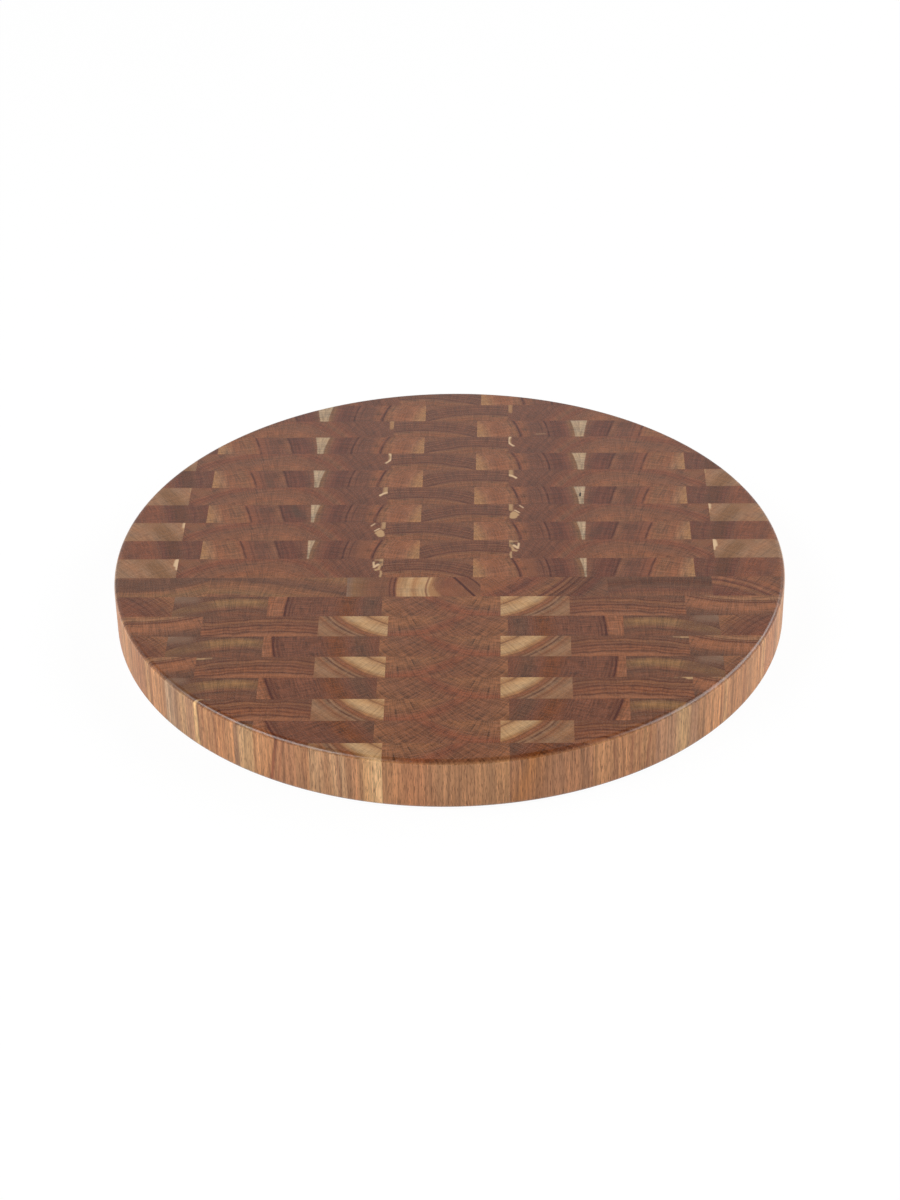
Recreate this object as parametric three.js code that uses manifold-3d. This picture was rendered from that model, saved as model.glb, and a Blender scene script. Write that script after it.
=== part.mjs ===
// A round end-grain cutting board, in millimetres, +Z up.
// The origin is the centre of the underside, and the board lies with its grain standing up.
//
// How it is made: staves are edge-glued into flat panels, and each panel is sawn across into strips.
// The strips are stood on their sawn edge, so that the end grain faces up, and every second strip is
// turned end for end before they are glued side by side. The blank is then cut round and eased.
// Each row of the board is one such strip, in three pieces: a run of staves out to the left rim,
// the block of the middle stave, and a run of staves out to the right rim.

import * as THREE from "three";
import { mergeVertices } from "three/addons/utils/BufferGeometryUtils.js";
import Module from "manifold-3d";

// The finished disc.
const BOARD_DIAMETER = 400;
const BOARD_THICKNESS = 32;
const EDGE_ROUND = 3;

// The glue-up. Rows are counted from the back of the board to the front.
// The blank is glued up deeper than the disc, and the round cut takes the trim off.
const BLANK_TRIM = 6;
const ROW_COUNT = 20;
const REAR_PANEL_ROWS = 11;
const MIDDLE_PANEL_ROWS = 1;
const GLUE_LINE = 0.2;
const GLUE_UP_OFFSET = -1.8;

// The middle stave of each panel: its width, and how far its middle stands right of the panel's middle.
const REAR_STAVE_WIDTH = 54;
const REAR_STAVE_OFFSET = 10.7;
const MIDDLE_STAVE_WIDTH = 79;
const MIDDLE_STAVE_OFFSET = -18.7;
const FRONT_STAVE_WIDTH = 69.4;
const FRONT_STAVE_OFFSET = 2.1;

// How far a strip slid to the right along its neighbours in the clamps, by its row.
const STRIP_SLIDES = new Map([[1, 3.5], [3, 1.2], [5, 0.8], [18, 0.6], [20, 0.8]]);

// Facets of the round shapes.
const RIM_FACETS = 192;
const EDGE_FACETS = 4;

// Oiled wood, in the mean colour of each piece's staves.
const OILED_WOOD_ROUGHNESS = 0.45;
const PANELS = {
  rear: {
    width: REAR_STAVE_WIDTH,
    offset: REAR_STAVE_OFFSET,
    colours: { left: "#7f5c4e", middle: "#80604f", right: "#88664f" },
  },
  middle: {
    width: MIDDLE_STAVE_WIDTH,
    offset: MIDDLE_STAVE_OFFSET,
    colours: { left: "#7d5f4f", middle: "#8b6650", right: "#785648" },
  },
  front: {
    width: FRONT_STAVE_WIDTH,
    offset: FRONT_STAVE_OFFSET,
    colours: { left: "#87624f", middle: "#825c48", right: "#795947" },
  },
};

const wasm = await Module();
wasm.setup();

const boardRadius = BOARD_DIAMETER / 2;
const stripWidth = (BOARD_DIAMETER + BLANK_TRIM) / ROW_COUNT;

// A closed three.js geometry as a solid that can be cut.
function solidFrom(geometry) {
  geometry.deleteAttribute("normal");
  geometry.deleteAttribute("uv");
  const merged = mergeVertices(geometry);
  const corners = merged.index.array;
  const triangles = [];
  for (let i = 0; i < corners.length; i += 3) {
    const [a, b, c] = corners.slice(i, i + 3);
    const flat = a === b || b === c || c === a;
    if (!flat) triangles.push(a, b, c);
  }
  const mesh = new wasm.Mesh({
    numProp: 3,
    vertProperties: new Float32Array(merged.attributes.position.array),
    triVerts: new Uint32Array(triangles),
  });
  return new wasm.Manifold(mesh);
}

// A cut solid as a three.js geometry again.
function geometryFrom(solid) {
  const { vertProperties, triVerts } = solid.getMesh();
  const geometry = new THREE.BufferGeometry();
  geometry.setAttribute("position", new THREE.BufferAttribute(vertProperties, 3));
  geometry.setIndex(new THREE.BufferAttribute(triVerts, 1));
  geometry.computeVertexNormals();
  return geometry;
}

// The whole board as it leaves the saw and the router: a disc with both edges rounded over.
function roundBlank() {
  const inner = boardRadius - EDGE_ROUND;
  const profile = new THREE.Path();
  profile.moveTo(0, 0);
  profile.lineTo(inner, 0);
  profile.absarc(inner, EDGE_ROUND, EDGE_ROUND, -Math.PI / 2, 0);
  profile.lineTo(boardRadius, BOARD_THICKNESS - EDGE_ROUND);
  profile.absarc(inner, BOARD_THICKNESS - EDGE_ROUND, EDGE_ROUND, 0, Math.PI / 2);
  profile.lineTo(0, BOARD_THICKNESS);
  // On an arc, getPoints makes two facets for each division.
  const disc = new THREE.LatheGeometry(profile.getPoints(EDGE_FACETS / 2), RIM_FACETS);
  disc.rotateX(Math.PI / 2);
  return solidFrom(disc);
}

// The upright box between two glue joints, half a glue line in from each.
function boxBetween(x0, x1, y0, y1) {
  const box = new THREE.BoxGeometry(x1 - x0 - GLUE_LINE, y1 - y0 - GLUE_LINE, 2 * BOARD_THICKNESS);
  box.translate((x0 + x1) / 2, (y0 + y1) / 2, BOARD_THICKNESS / 2);
  return solidFrom(box);
}

function panelOf(row) {
  if (row <= REAR_PANEL_ROWS) return PANELS.rear;
  if (row <= REAR_PANEL_ROWS + MIDDLE_PANEL_ROWS) return PANELS.middle;
  return PANELS.front;
}

// The back and front glue joints of a row.
function rowSpan(row) {
  const back = (ROW_COUNT / 2 - row + 1) * stripWidth;
  return { back, front: back - stripWidth };
}

// The two glue joints of the middle stave in a row. Odd rows are the strips turned end for end.
function middleStaveSpan(row) {
  const { width, offset } = panelOf(row);
  const turned = row % 2 === 1;
  const slide = STRIP_SLIDES.get(row) ?? 0;
  const centre = GLUE_UP_OFFSET + slide + (turned ? -offset : offset);
  return { left: centre - width / 2, right: centre + width / 2 };
}

// The runs left and right of the middle stave. A turned strip shows the other run on each side.
function runColour(row, side) {
  const { colours } = panelOf(row);
  const turned = row % 2 === 1;
  if (!turned || side === "middle") return colours[side];
  return side === "left" ? colours.right : colours.left;
}

function woodMesh(name, solid, colour) {
  const material = new THREE.MeshStandardMaterial({
    color: colour,
    roughness: OILED_WOOD_ROUGHNESS,
    metalness: 0,
    flatShading: true,
  });
  const mesh = new THREE.Mesh(geometryFrom(solid), material);
  mesh.name = name;
  return mesh;
}

// One strip of the board: its group stands on the middle of the row, with the pieces inside it.
function boardRow(row, blank) {
  const { back, front } = rowSpan(row);
  const middle = (back + front) / 2;
  const stave = middleStaveSpan(row);
  const pieces = [
    { name: "left_run", side: "left", x0: -BOARD_DIAMETER, x1: stave.left },
    { name: "middle_block", side: "middle", x0: stave.left, x1: stave.right },
    { name: "right_run", side: "right", x0: stave.right, x1: BOARD_DIAMETER },
  ];
  const strip = new THREE.Group();
  strip.position.y = middle;
  for (const { name, side, x0, x1 } of pieces) {
    const cut = blank.intersect(boxBetween(x0, x1, front, back));
    if (cut.isEmpty()) continue;
    const solid = cut.translate(0, -middle, 0);
    const number = String(row).padStart(2, "0");
    strip.add(woodMesh(`row_${number}_${name}`, solid, runColour(row, side)));
  }
  return strip;
}

const board = new THREE.Group();
const blank = roundBlank();
for (let row = 1; row <= ROW_COUNT; row += 1) board.add(boardRow(row, blank));

export default board;
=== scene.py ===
# %% [markdown]
# # A round end-grain cutting board
#
# The board is a disc of small wood blocks with their grain standing up, glued in 20 straight rows. Its
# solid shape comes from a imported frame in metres, with the origin under the middle of the board. A
# picture of wood laid over the disc would be quick, but its grain would smear at the rim. So this lesson
# works as the maker does: every block is sawn out of one turned blank, and it carries the growth rings
# of the stave that it came from all the way through.

# %% The frame
import math

import bpy
import numpy as np
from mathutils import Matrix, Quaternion, Vector


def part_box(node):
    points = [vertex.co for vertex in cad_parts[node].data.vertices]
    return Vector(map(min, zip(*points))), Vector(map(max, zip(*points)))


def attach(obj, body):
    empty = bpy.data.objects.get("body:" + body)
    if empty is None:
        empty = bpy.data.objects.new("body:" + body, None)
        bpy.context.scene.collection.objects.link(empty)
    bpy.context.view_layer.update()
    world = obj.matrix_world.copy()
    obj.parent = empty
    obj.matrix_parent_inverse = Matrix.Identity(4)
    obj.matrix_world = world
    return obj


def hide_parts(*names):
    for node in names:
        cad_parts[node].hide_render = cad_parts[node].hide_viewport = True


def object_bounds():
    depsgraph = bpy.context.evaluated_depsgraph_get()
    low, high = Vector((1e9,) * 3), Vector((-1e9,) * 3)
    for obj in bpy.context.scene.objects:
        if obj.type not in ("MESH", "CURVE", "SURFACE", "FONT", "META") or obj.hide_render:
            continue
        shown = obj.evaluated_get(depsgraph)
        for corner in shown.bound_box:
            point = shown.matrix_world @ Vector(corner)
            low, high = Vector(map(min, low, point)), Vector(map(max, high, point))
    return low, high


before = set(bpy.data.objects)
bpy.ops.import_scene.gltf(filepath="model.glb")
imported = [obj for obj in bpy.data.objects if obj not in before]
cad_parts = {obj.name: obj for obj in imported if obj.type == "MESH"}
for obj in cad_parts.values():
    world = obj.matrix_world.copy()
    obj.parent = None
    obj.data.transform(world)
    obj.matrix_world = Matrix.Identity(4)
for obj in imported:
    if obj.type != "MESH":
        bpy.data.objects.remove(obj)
cad_low, cad_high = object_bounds()
BOARD_RADIUS = cad_high.y
BOARD_THICKNESS = cad_high.z
MM = 0.001
print(f"board {2 * BOARD_RADIUS / MM:.1f} mm across and {BOARD_THICKNESS / MM:.1f} mm thick")

# %% [markdown]
# ## Camera
#
# The photograph looks down on the board at 34 degrees from 1.6 m away, with the camera slightly tilted.
# It could be framed by eye, but a round rim shows the smallest error, so these values were fitted to the
# rim and to the straight glue joints. The lens is worked out from the focal length in pixels, because
# the sensor's 36 mm lie along the taller side of the picture.

# %% Camera
PHOTO_HEIGHT = 1200
FOCAL_PIXELS = 2710
SENSOR = 36
CAMERA_DISTANCE = 1.641
CAMERA_ELEVATION = math.radians(34.2)
CAMERA_AZIMUTH = math.radians(1.44)
CAMERA_ROLL = math.radians(0.97)
CENTRE_BELOW_PIXELS = 2.6

camera_data = bpy.data.cameras.new("photo_camera")
camera_data.sensor_width = SENSOR
camera_data.lens = FOCAL_PIXELS / PHOTO_HEIGHT * SENSOR
camera_data.shift_y = CENTRE_BELOW_PIXELS / PHOTO_HEIGHT
camera = bpy.data.objects.new("photo_camera", camera_data)
bpy.context.collection.objects.link(camera)
towards_camera = Vector((
    math.sin(CAMERA_AZIMUTH) * math.cos(CAMERA_ELEVATION),
    -math.cos(CAMERA_AZIMUTH) * math.cos(CAMERA_ELEVATION),
    math.sin(CAMERA_ELEVATION),
))
camera.rotation_mode = "QUATERNION"
camera.location = towards_camera * CAMERA_DISTANCE
aim = (-towards_camera).to_track_quat("-Z", "Y")
camera.rotation_quaternion = aim @ Quaternion((0, 0, 1), -CAMERA_ROLL)
bpy.context.scene.camera = camera
print(f"camera at {tuple(round(c, 3) for c in camera.location)}, lens {camera_data.lens:.1f} mm")

# %% [markdown]
# ## Rows, strips and staves
#
# Three panels were glued up from staves, and each was sawn across into strips. A strip stood on edge
# is one row. Every second strip was turned end for end, so its staves come in the other order, and the
# two faces of one saw cut end up side by side as a pair of rows. The blocks could be listed one by one,
# but then nothing would tie a pair together. So each stave gets a plain name for its look, and its width
# in millimetres, counted from the middle stave outwards. The outermost staves run out past the rim.
# Offset is how far the middle stave stands to the right of its panel's middle.

# %% The glue-up
ROWS = 20
REAR_ROWS = 11
MIDDLE_ROW = 12
PAST_RIM = 300
PANELS = {
    "rear": {
        "left": [("salmon", 66.2), ("caramel", 65.4), ("plum", PAST_RIM)],
        "middle": "banded",
        "right": [("arched", 122.9), ("beige", PAST_RIM)],
        "offset": 10.7,
    },
    "middle": {
        "left": [("feathered", 82), ("dusky", PAST_RIM)],
        "middle": "flamed",
        "right": [("slanted", 75), ("smoky", 61.5), ("curled", PAST_RIM)],
        "offset": -18.7,
    },
    "front": {
        "left": [("sapwood", 40.3), ("rippled", 67.5), ("saddle", PAST_RIM)],
        "middle": "rayed",
        "right": [("chestnut", 66.8), ("olive", 55.2), ("russet", PAST_RIM)],
        "offset": 2.1,
    },
}


def panel_of(row):
    if row <= REAR_ROWS:
        return "rear"
    return "middle" if row == MIDDLE_ROW else "front"


def is_turned(row):
    return row % 2 == 1


def node_of(row, part):
    return f"row_{row:02d}_{part}"


def strip_staves(row):
    """The staves of one row from left to right: name, left joint, right joint and CAD node."""
    panel = PANELS[panel_of(row)]
    low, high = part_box(node_of(row, "middle_block"))
    sides = (panel["right"], panel["left"]) if is_turned(row) else (panel["left"], panel["right"])
    staves = [(panel["middle"], low.x / MM, high.x / MM, "middle_block")]
    for name, width in sides[0]:
        edge = staves[0][1]
        staves.insert(0, (name, edge - width, edge, "left_run"))
    for name, width in sides[1]:
        edge = staves[-1][2]
        staves.append((name, edge, edge + width, "right_run"))
    return staves


for row in (REAR_ROWS, MIDDLE_ROW, ROWS):
    print(f"row {row}:", ", ".join(stave[0] for stave in strip_staves(row)))

# %% [markdown]
# ## The turned blank
#
# The finished board is a plain disc with both edges rounded over. A cylinder primitive has sharp
# edges, so its two rim loops are selected by their height and bevelled with an arc. The disc is made
# once and every block is cut out of a copy, which keeps the rim of all blocks on one true circle.

# %% The blank
RIM_VERTICES = 480
EDGE_ROUND = 3 * MM
EDGE_STEPS = 8


def select_nothing():
    if bpy.context.mode != "OBJECT":
        bpy.ops.object.mode_set(mode="OBJECT")
    bpy.ops.object.select_all(action="DESELECT")


def turned_blank():
    select_nothing()
    bpy.ops.mesh.primitive_cylinder_add(
        vertices=RIM_VERTICES,
        radius=BOARD_RADIUS,
        depth=BOARD_THICKNESS,
        location=(0, 0, BOARD_THICKNESS / 2),
    )
    disc = bpy.context.object
    disc.name = "turned_blank"
    bpy.ops.object.transform_apply(location=True, rotation=True, scale=True)
    bpy.ops.object.mode_set(mode="EDIT")
    bpy.ops.mesh.select_mode(type="EDGE")
    bpy.ops.mesh.select_all(action="DESELECT")
    bpy.ops.object.mode_set(mode="OBJECT")
    mesh = disc.data
    for edge in mesh.edges:
        heights = [mesh.vertices[v].co.z for v in edge.vertices]
        edge.select = abs(heights[0] - heights[1]) < EDGE_ROUND
    bpy.ops.object.mode_set(mode="EDIT")
    bpy.ops.mesh.bevel(offset=EDGE_ROUND, segments=EDGE_STEPS, profile=0.5)
    bpy.ops.object.mode_set(mode="OBJECT")
    return disc


blank = turned_blank()
print(f"blank: {len(blank.data.vertices)} vertices, {len(blank.data.polygons)} faces")

# %% [markdown]
# ## The saw
#
# On the bench a saw parts the strips and the blocks. Bisect is Blender's saw: it cuts all that is
# selected along a plane, throws one side away and closes the cut with a flat face. Booleans could do
# the same with a box for each block, but two planes are simpler and leave cleaner edges. A hairline
# stays open at every joint, so that no block touches its neighbour.

# %% The saw
GLUE_HALF = 0.01


def copy_of(source, name):
    """A copy with a mesh of its own, selected and active."""
    select_nothing()
    made = source.copy()
    made.data = source.data.copy()
    made.name = name
    bpy.context.collection.objects.link(made)
    made.select_set(True)
    bpy.context.view_layer.objects.active = made
    return made


def saw(axis, low, high):
    """Keeps what lies between two joints of the active piece, in millimetres along an axis."""
    bpy.ops.object.mode_set(mode="EDIT")
    for place, keep_above in ((low + GLUE_HALF, True), (high - GLUE_HALF, False)):
        bpy.ops.mesh.select_all(action="SELECT")
        bpy.ops.mesh.bisect(
            plane_co=Vector(axis) * place * MM,
            plane_no=axis,
            use_fill=True,
            clear_inner=keep_above,
            clear_outer=not keep_above,
        )
    bpy.ops.object.mode_set(mode="OBJECT")


print(f"the saw leaves {2 * GLUE_HALF} mm open at a joint")

# %% [markdown]
# ## Flat faces and a smooth rim
#
# The faces of a block are planed or sawn flat, and only its stretch of the rim is round. Shading by
# angle would also smooth the shallow edges beside a joint and smear light over the flat faces. So the
# rim's faces are picked by place instead: all their corners lie near the rim, and they look outwards.
# The edges of every other face are marked sharp.

# %% Flat faces and a smooth rim
RIM_FROM = BOARD_RADIUS - EDGE_ROUND - 0.1 * MM
MOST_SIDEWAYS = 0.1
FACING_UP = 0.999


def shade_block(mesh):
    """Flat sawn and planed faces with sharp edges, and a smooth rim."""
    radii = [math.hypot(vertex.co.x, vertex.co.y) for vertex in mesh.vertices]
    sharp = set()
    for face in mesh.polygons:
        at_rim = min(radii[corner] for corner in face.vertices) > RIM_FROM
        sideways = abs(face.normal.cross(face.center).z) / BOARD_RADIUS
        face.use_smooth = at_rim and sideways < MOST_SIDEWAYS and abs(face.normal.z) < FACING_UP
        if not face.use_smooth:
            sharp.update(face.edge_keys)
    for edge in mesh.edges:
        edge.use_edge_sharp = edge.key in sharp


print(f"the smooth rim starts {RIM_FROM / MM:.1f} mm from the middle")

# %% [markdown]
# ## Marking the grain
#
# A pattern on the board's own coordinates would run straight through from block to block. On the real
# board the grain belongs to the stave, so every corner of a block is told where it lay in its stave
# before the saw: across the panel, through its thickness, and along the stave. The three numbers are
# kept in an attribute named grain, in millimetres. A turned strip counts backwards, and the two slabs on
# either side of one saw cut meet at that cut, which makes their tops mirror each other.

# %% Marking the grain
SAW_KERF = 3
SLAB = BOARD_THICKNESS / MM
SLAB_PAIR = 2 * (SLAB + SAW_KERF)


def cut_of(row):
    """Which saw cut of its panel a row comes from, counted from the middle of the board."""
    if row <= REAR_ROWS:
        return (REAR_ROWS - row) // 2
    return max(row - MIDDLE_ROW - 1, 0) // 2


def mark_grain(mesh, row, middle_x, middle_y):
    """Writes where each corner lies in its stave: across, through and along it."""
    corners = np.zeros(len(mesh.vertices) * 3, np.float32)
    mesh.vertices.foreach_get("co", corners)
    across, through, up = corners.reshape(-1, 3).T / MM
    turn = -1 if is_turned(row) else 1
    start = cut_of(row) * SLAB_PAIR - (SAW_KERF if is_turned(row) else 0)
    grain = np.stack([
        (across - middle_x) * turn + PANELS[panel_of(row)]["offset"],
        through - middle_y,
        start + (SLAB - up) * turn,
    ], 1)
    attribute = mesh.attributes.new("grain", "FLOAT_VECTOR", "POINT")
    attribute.data.foreach_set("vector", grain.astype(np.float32).ravel())


print(f"a saw cut and its two slabs take {SLAB_PAIR:.0f} mm of a stave")

# %% [markdown]
# ## Sawing the rows
#
# The 20 rows are cut across the disc first, and each row is then cut into its blocks, as on the bench.
# The blank was glued up a little deeper than the disc, and the round cut took that trim off, so the
# first and last row are narrower. A stave that only just reaches into the circle leaves a splinter,
# which is not made.

# %% Sawing the rows
TRIM = 3
SMALLEST_BLOCK = 3
ROW_DEPTH = 2 * (BOARD_RADIUS / MM + TRIM) / ROWS


def saw_row(row):
    low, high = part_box(node_of(row, "middle_block"))
    middle_x = (low.x + high.x) / 2 / MM
    back = (ROWS / 2 - row + 1) * ROW_DEPTH
    front = back - ROW_DEPTH
    strip = copy_of(blank, f"strip_{row:02d}")
    saw((0, 1, 0), front, back)
    reach = max(abs(vertex.co.x) for vertex in strip.data.vertices) / MM
    blocks = []
    for name, left, right, part in strip_staves(row):
        if min(right, reach) - max(left, -reach) < SMALLEST_BLOCK:
            continue
        block = copy_of(strip, f"block_{row:02d}_{name}")
        saw((1, 0, 0), left, right)
        shade_block(block.data)
        mark_grain(block.data, row, middle_x, (back + front) / 2)
        blocks.append((block, name, node_of(row, part)))
    bpy.data.objects.remove(strip)
    return blocks


rows = [saw_row(row) for row in range(1, ROWS + 1)]
bpy.data.objects.remove(blank)
blocks = [block for row in rows for block in row]
print(f"{len(blocks)} blocks, by row from the back: {[len(row) for row in rows]}")

# %% [markdown]
# ## Nodes as formulas
#
# Each wood is a small tree of shader nodes. They could be dragged together by hand, but 19 woods share
# the same few steps. These helpers add one node, fill its sockets with numbers or links, and hand back
# the socket that matters, so that the trees below read like formulas.

# %% Nodes as formulas
def feed(tree, socket, value):
    if isinstance(value, bpy.types.NodeSocket):
        tree.links.new(value, socket)
    else:
        socket.default_value = value


def add_node(tree, kind, sockets=None, **options):
    node = tree.nodes.new("ShaderNode" + kind)
    for option, value in options.items():
        setattr(node, option, value)
    for name, value in (sockets or {}).items():
        feed(tree, node.inputs[name], value)
    return node


def calc(tree, operation, first, second=0.0):
    return add_node(tree, "Math", {0: first, 1: second}, operation=operation).outputs[0]


def total(tree, first, *others):
    """The sum of some values."""
    for other in others:
        first = calc(tree, "ADD", first, other)
    return first


def product(tree, first, *others):
    """The product of some values."""
    for other in others:
        first = calc(tree, "MULTIPLY", first, other)
    return first


def vector_calc(tree, operation, first, second=(0, 0, 0)):
    node = add_node(tree, "VectorMath", {0: first, 1: second}, operation=operation)
    return node.outputs["Value" if operation in ("LENGTH", "DOT_PRODUCT") else "Vector"]


def stretched(tree, vector, scale):
    """A vector times a plain scale for each axis."""
    return vector_calc(tree, "MULTIPLY", vector, scale)


def lengthened(tree, vector, factor):
    """A vector times one number, which may vary over the surface."""
    return add_node(tree, "VectorMath", {0: vector, "Scale": factor}, operation="SCALE").outputs["Vector"]


def parts_of(tree, vector):
    return add_node(tree, "SeparateXYZ", {0: vector}).outputs


def together(tree, x, y, z=0.0):
    return add_node(tree, "CombineXYZ", {0: x, 1: y, 2: z}).outputs[0]


print("helpers for single nodes are ready")

# %% [markdown]
# ## Fades, mixes and noise
#
# Wood has no hard edges: one brown runs into the next, and nothing repeats. A smooth step, a colour mix
# and a noise are enough to draw all of it. The noise is told in waves per millimetre, so that a size in
# the shader can be compared with a size on the board.

# %% Fades, mixes and noise
def fade(tree, value, start, end, low=0.0, high=1.0):
    """A smooth step from low to high as value goes from start to end."""
    sockets = {"Value": value, "From Min": start, "From Max": end, "To Min": low, "To Max": high}
    return add_node(tree, "MapRange", sockets, interpolation_type="SMOOTHSTEP").outputs["Result"]


def mix_colour(tree, factor, first, second, blend="MIX"):
    node = add_node(tree, "Mix", data_type="RGBA", blend_type=blend)
    feed(tree, node.inputs[0], factor)
    feed(tree, node.inputs[6], first)
    feed(tree, node.inputs[7], second)
    return node.outputs[2]


def noise(tree, vector, detail=2.0, rough=0.5):
    sockets = {"Vector": vector, "Scale": 1.0, "Detail": detail, "Roughness": rough}
    return add_node(tree, "TexNoise", sockets, noise_dimensions="3D").outputs


def centred(tree, value, amount):
    """A noise of 0 to 1 as a swing of plus or minus half the amount."""
    return calc(tree, "MULTIPLY", calc(tree, "SUBTRACT", value, 0.5), amount)


print("helpers for fades, mixes and noise are ready")

# %% [markdown]
# ## Node groups with named sockets
#
# What several woods share, such as rings or pores, is built once as a node group and placed in each wood
# with its own values. Its sockets get plain names, so the groups can also be used by hand in the node
# editor.

# %% Node groups with named sockets
PLACE = (0.0, 0.0, 0.0)
BLACK = (0.0, 0.0, 0.0, 1.0)
SOCKET_KINDS = {float: "NodeSocketFloat", 3: "NodeSocketVector", 4: "NodeSocketColor"}


def new_group(name, inputs, outputs):
    """A shader node group with named sockets. A plain number, vector or colour gives a socket's kind."""
    group = bpy.data.node_groups.new(name, "ShaderNodeTree")
    for socket, value in inputs.items():
        kind = SOCKET_KINDS[float if isinstance(value, float) else len(value)]
        made = group.interface.new_socket(socket, in_out="INPUT", socket_type=kind)
        made.default_value = value
    for socket, kind in outputs.items():
        group.interface.new_socket(socket, in_out="OUTPUT", socket_type=SOCKET_KINDS[kind])
    return group, group.nodes.new("NodeGroupInput").outputs, group.nodes.new("NodeGroupOutput").inputs


def use_group(tree, group, **sockets):
    node = tree.nodes.new("ShaderNodeGroup")
    node.node_tree = group
    for name, value in sockets.items():
        feed(tree, node.inputs[name.replace("_", " ").capitalize()], value)
    return node.outputs


print("helpers for node groups are ready")

# %% [markdown]
# ## Growth rings
#
# Wood is a solid texture. Every stave was sawn from a trunk, so its rings are circles around a pith
# that usually lies outside the stave. A wave texture could draw rings too, but its bands are all alike.
# This group only measures how far a point is from the pith, and the colours come later. Two noises let
# the rings wander, Lean lets the pith drift along the stave, so neighbouring slices differ, and Flank
# squeezes the rings on one side of the pith into a steeper arch.

# %% Growth rings
WANDER_WAVES = ((0.045, 1.6), (0.16, 0.45))
WANDER_ALONG = 0.35
NOISE_MIDDLE = (0.5, 0.5, 0.5)


def growth_rings():
    group, given, out = new_group(
        "Growth rings",
        {"Grain": PLACE, "Pith": PLACE, "Lean": PLACE, "Flank": 0.0, "Wander": 1.0, "Seed": 0.0},
        {"Radius": float, "Angle": float, "Place": 3},
    )
    along = parts_of(group, given["Grain"])["Z"]
    pith = vector_calc(group, "ADD", given["Pith"], lengthened(group, given["Lean"], along))
    seed = together(group, given["Seed"], given["Seed"])
    shift = PLACE
    for waves, swing in WANDER_WAVES:
        spot = stretched(group, given["Grain"], (waves, waves, waves * WANDER_ALONG))
        cloud = noise(group, vector_calc(group, "ADD", spot, seed))["Color"]
        push = vector_calc(group, "SUBTRACT", cloud, NOISE_MIDDLE)
        shift = vector_calc(group, "ADD", shift, stretched(group, push, (swing, swing, 0)))
    place = vector_calc(group, "ADD", given["Grain"], lengthened(group, shift, given["Wander"]))
    spoke = parts_of(group, vector_calc(group, "SUBTRACT", place, pith))
    squeeze = calc(group, "MULTIPLY", calc(group, "MINIMUM", spoke["X"], 0.0), given["Flank"])
    across = calc(group, "ADD", spoke["X"], squeeze)
    feed(group, out["Radius"], vector_calc(group, "LENGTH", together(group, across, spoke["Y"])))
    feed(group, out["Angle"], calc(group, "ARCTAN2", spoke["Y"], across))
    feed(group, out["Place"], place)
    return group


RINGS = growth_rings()
print(f"{RINGS.name}: {len(RINGS.nodes)} nodes")

# %% [markdown]
# ## Ring figure
#
# Close up, end grain is a hatching: fine year rings one way, and fine rays from the pith across them.
# Three noises on radius and angle draw it, one for wide rings, one for fine rings and one for the rays.
# A picture of end grain would do from above, but it couldn't follow the arcs of each stave. On the rim
# the fine rings and the rays fade, because the fibres show from the side there. A soft mottle of light
# and of warmth keeps large blocks from looking printed.

# %% Ring figure
END_GRAIN_FADE = (0.2, 0.9)
WIDE_RINGS = (0.22, 0.01)
FINE_RINGS = (1.2, 0.1)
CROSS_RAYS = (0.08, 1.25)
HATCH_DETAIL = 2.0
HATCH_ROUGH = 0.6
MOTTLE_WAVES = (0.085, 0.085, 0.02)
BLUSH_WAVES = (0.05, 0.11, 0.012)
CLOUD_DETAIL = 3.0
BLUSH_RED = 0.6


def facing_share(tree):
    """How squarely the surface cuts across the fibres: 1 on the two faces, 0 on the side of the rim."""
    normal = add_node(tree, "TexCoord").outputs["Normal"]
    return calc(tree, "ABSOLUTE", parts_of(tree, normal)["Z"])


def end_share(tree):
    """1 where end grain shows, and 0 where the fibres show from the side."""
    return fade(tree, facing_share(tree), *END_GRAIN_FADE)


def ring_figure():
    group, given, out = new_group(
        "Ring figure",
        {"Color": BLACK, "Radius": 0.0, "Angle": 0.0, "Grain": PLACE, "Reach": 80.0, "Rings": 0.2,
         "Fine": 0.6, "Rays": 0.6, "Mottle": 0.2, "Warmth": 0.2, "Seed": 0.0},
        {"Color": 4},
    )
    around = calc(group, "MULTIPLY", given["Angle"], given["Reach"])
    end = end_share(group)

    def hatch(waves, amount):
        outward = calc(group, "MULTIPLY", given["Radius"], waves[0])
        sideways = calc(group, "MULTIPLY", around, waves[1])
        spot = together(group, outward, sideways, given["Seed"])
        return centred(group, noise(group, spot, HATCH_DETAIL, HATCH_ROUGH)[0], amount)

    def cloud(waves, amount):
        spot = stretched(group, given["Grain"], waves)
        return centred(group, noise(group, spot, CLOUD_DETAIL)[0], amount)

    wide = hatch(WIDE_RINGS, given["Rings"])
    fine = hatch(FINE_RINGS, calc(group, "MULTIPLY", given["Fine"], end))
    rays = hatch(CROSS_RAYS, calc(group, "MULTIPLY", given["Rays"], end))
    light = total(group, 1.0, wide, fine, rays, cloud(MOTTLE_WAVES, given["Mottle"]))
    warmth = cloud(BLUSH_WAVES, given["Warmth"])
    red = calc(group, "ADD", light, calc(group, "MULTIPLY", warmth, BLUSH_RED))
    blue = calc(group, "SUBTRACT", light, warmth)
    shade = together(group, red, light, blue)
    feed(group, out["Color"], mix_colour(group, 1.0, given["Color"], shade, "MULTIPLY"))
    return group


FIGURE = ring_figure()
print(f"{FIGURE.name}: {len(FIGURE.nodes)} nodes")

# %% [markdown]
# ## Gum lines
#
# Some year rings are filled with dark gum and stand out as single lines. They could be more stops in the
# colour ramp, but a ramp is soft and holds few stops. So each line is drawn at one radius, over the
# figure, and a patchy noise makes it come and go as real gum does.

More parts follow.
